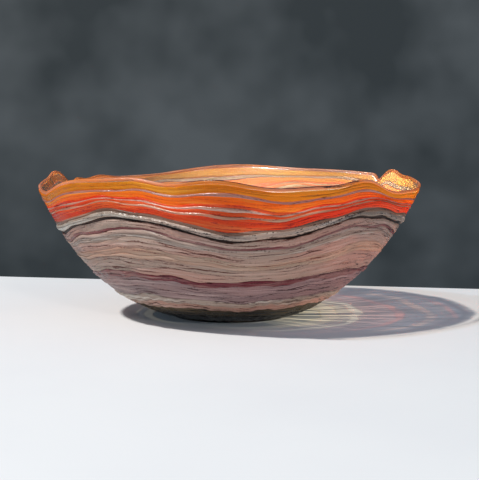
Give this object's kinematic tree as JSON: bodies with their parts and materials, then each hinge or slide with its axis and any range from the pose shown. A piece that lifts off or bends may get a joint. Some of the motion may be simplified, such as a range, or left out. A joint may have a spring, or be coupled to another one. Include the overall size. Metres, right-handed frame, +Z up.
{
  "type": "ruffled art glass bowl",
  "caption": "Wide ruffled glass bowl: a thin casing on a flat foot pad, wound outside with wavy fused trails of smoke, taupe, red, orange and amber glass.",
  "frame": {"origin": "centre of the foot pad's flat underside", "axes": "+Z up out of the bowl, +X towards one of the two pouring lobes, -Y the front of the bowl"},
  "size_m": [0.3001, 0.2972, 0.1149],
  "materials": {
    "casing_glass": "clear, faintly pink, smooth and glossy inside",
    "smoke_glass": "nearly black smoke glass, glossy, slightly wrinkled",
    "olive_glass": "dark olive glass with tan streaks, glossy",
    "taupe_glass": "milky taupe glass, finely wrinkled, glossy",
    "cream_glass": "cream opal glass thread, glossy",
    "mauve_glass": "mauve-brown translucent glass, finely wrinkled",
    "burgundy_glass": "deep burgundy glass thread, glossy",
    "tan_glass": "tan glass with a beaded surface, glossy",
    "grey_glass": "warm grey opal glass, raised and beaded",
    "brown_glass": "near-black brown glass thread, glossy",
    "red_glass": "bright red translucent glass, glossy",
    "orange_glass": "orange translucent glass, glossy",
    "amber_glass": "amber translucent glass, glossy",
    "pink_glass": "pink-mauve glass lip, fire polished"
  },
  "bodies": {
    "root": {"foot_pad": "smoke_glass", "inner_casing": "casing_glass", "base_smoke_band": "smoke_glass", "base_olive_band": "olive_glass", "low_taupe_band": "taupe_glass", "cream_thread": "cream_glass", "low_mauve_band": "mauve_glass", "high_mauve_band": "mauve_glass", "burgundy_thread": "burgundy_glass", "low_body_band": "taupe_glass", "high_body_band": "taupe_glass", "tan_thread": "tan_glass", "tan_band": "tan_glass", "mottled_band": "taupe_glass", "grey_body_band": "grey_glass", "pale_ridge_thread": "grey_glass", "maroon_thread": "burgundy_glass", "wrinkled_band": "taupe_glass", "brown_thread": "brown_glass", "grey_cord": "grey_glass", "brown_grey_band": "mauve_glass", "red_band": "red_glass", "sand_thread": "tan_glass", "scarlet_thread": "red_glass", "ash_thread": "grey_glass", "crimson_thread": "red_glass", "orange_band": "orange_glass", "mauve_thread": "mauve_glass", "amber_band": "amber_glass", "lip_thread": "pink_glass"}
  },
  "joints": []
}
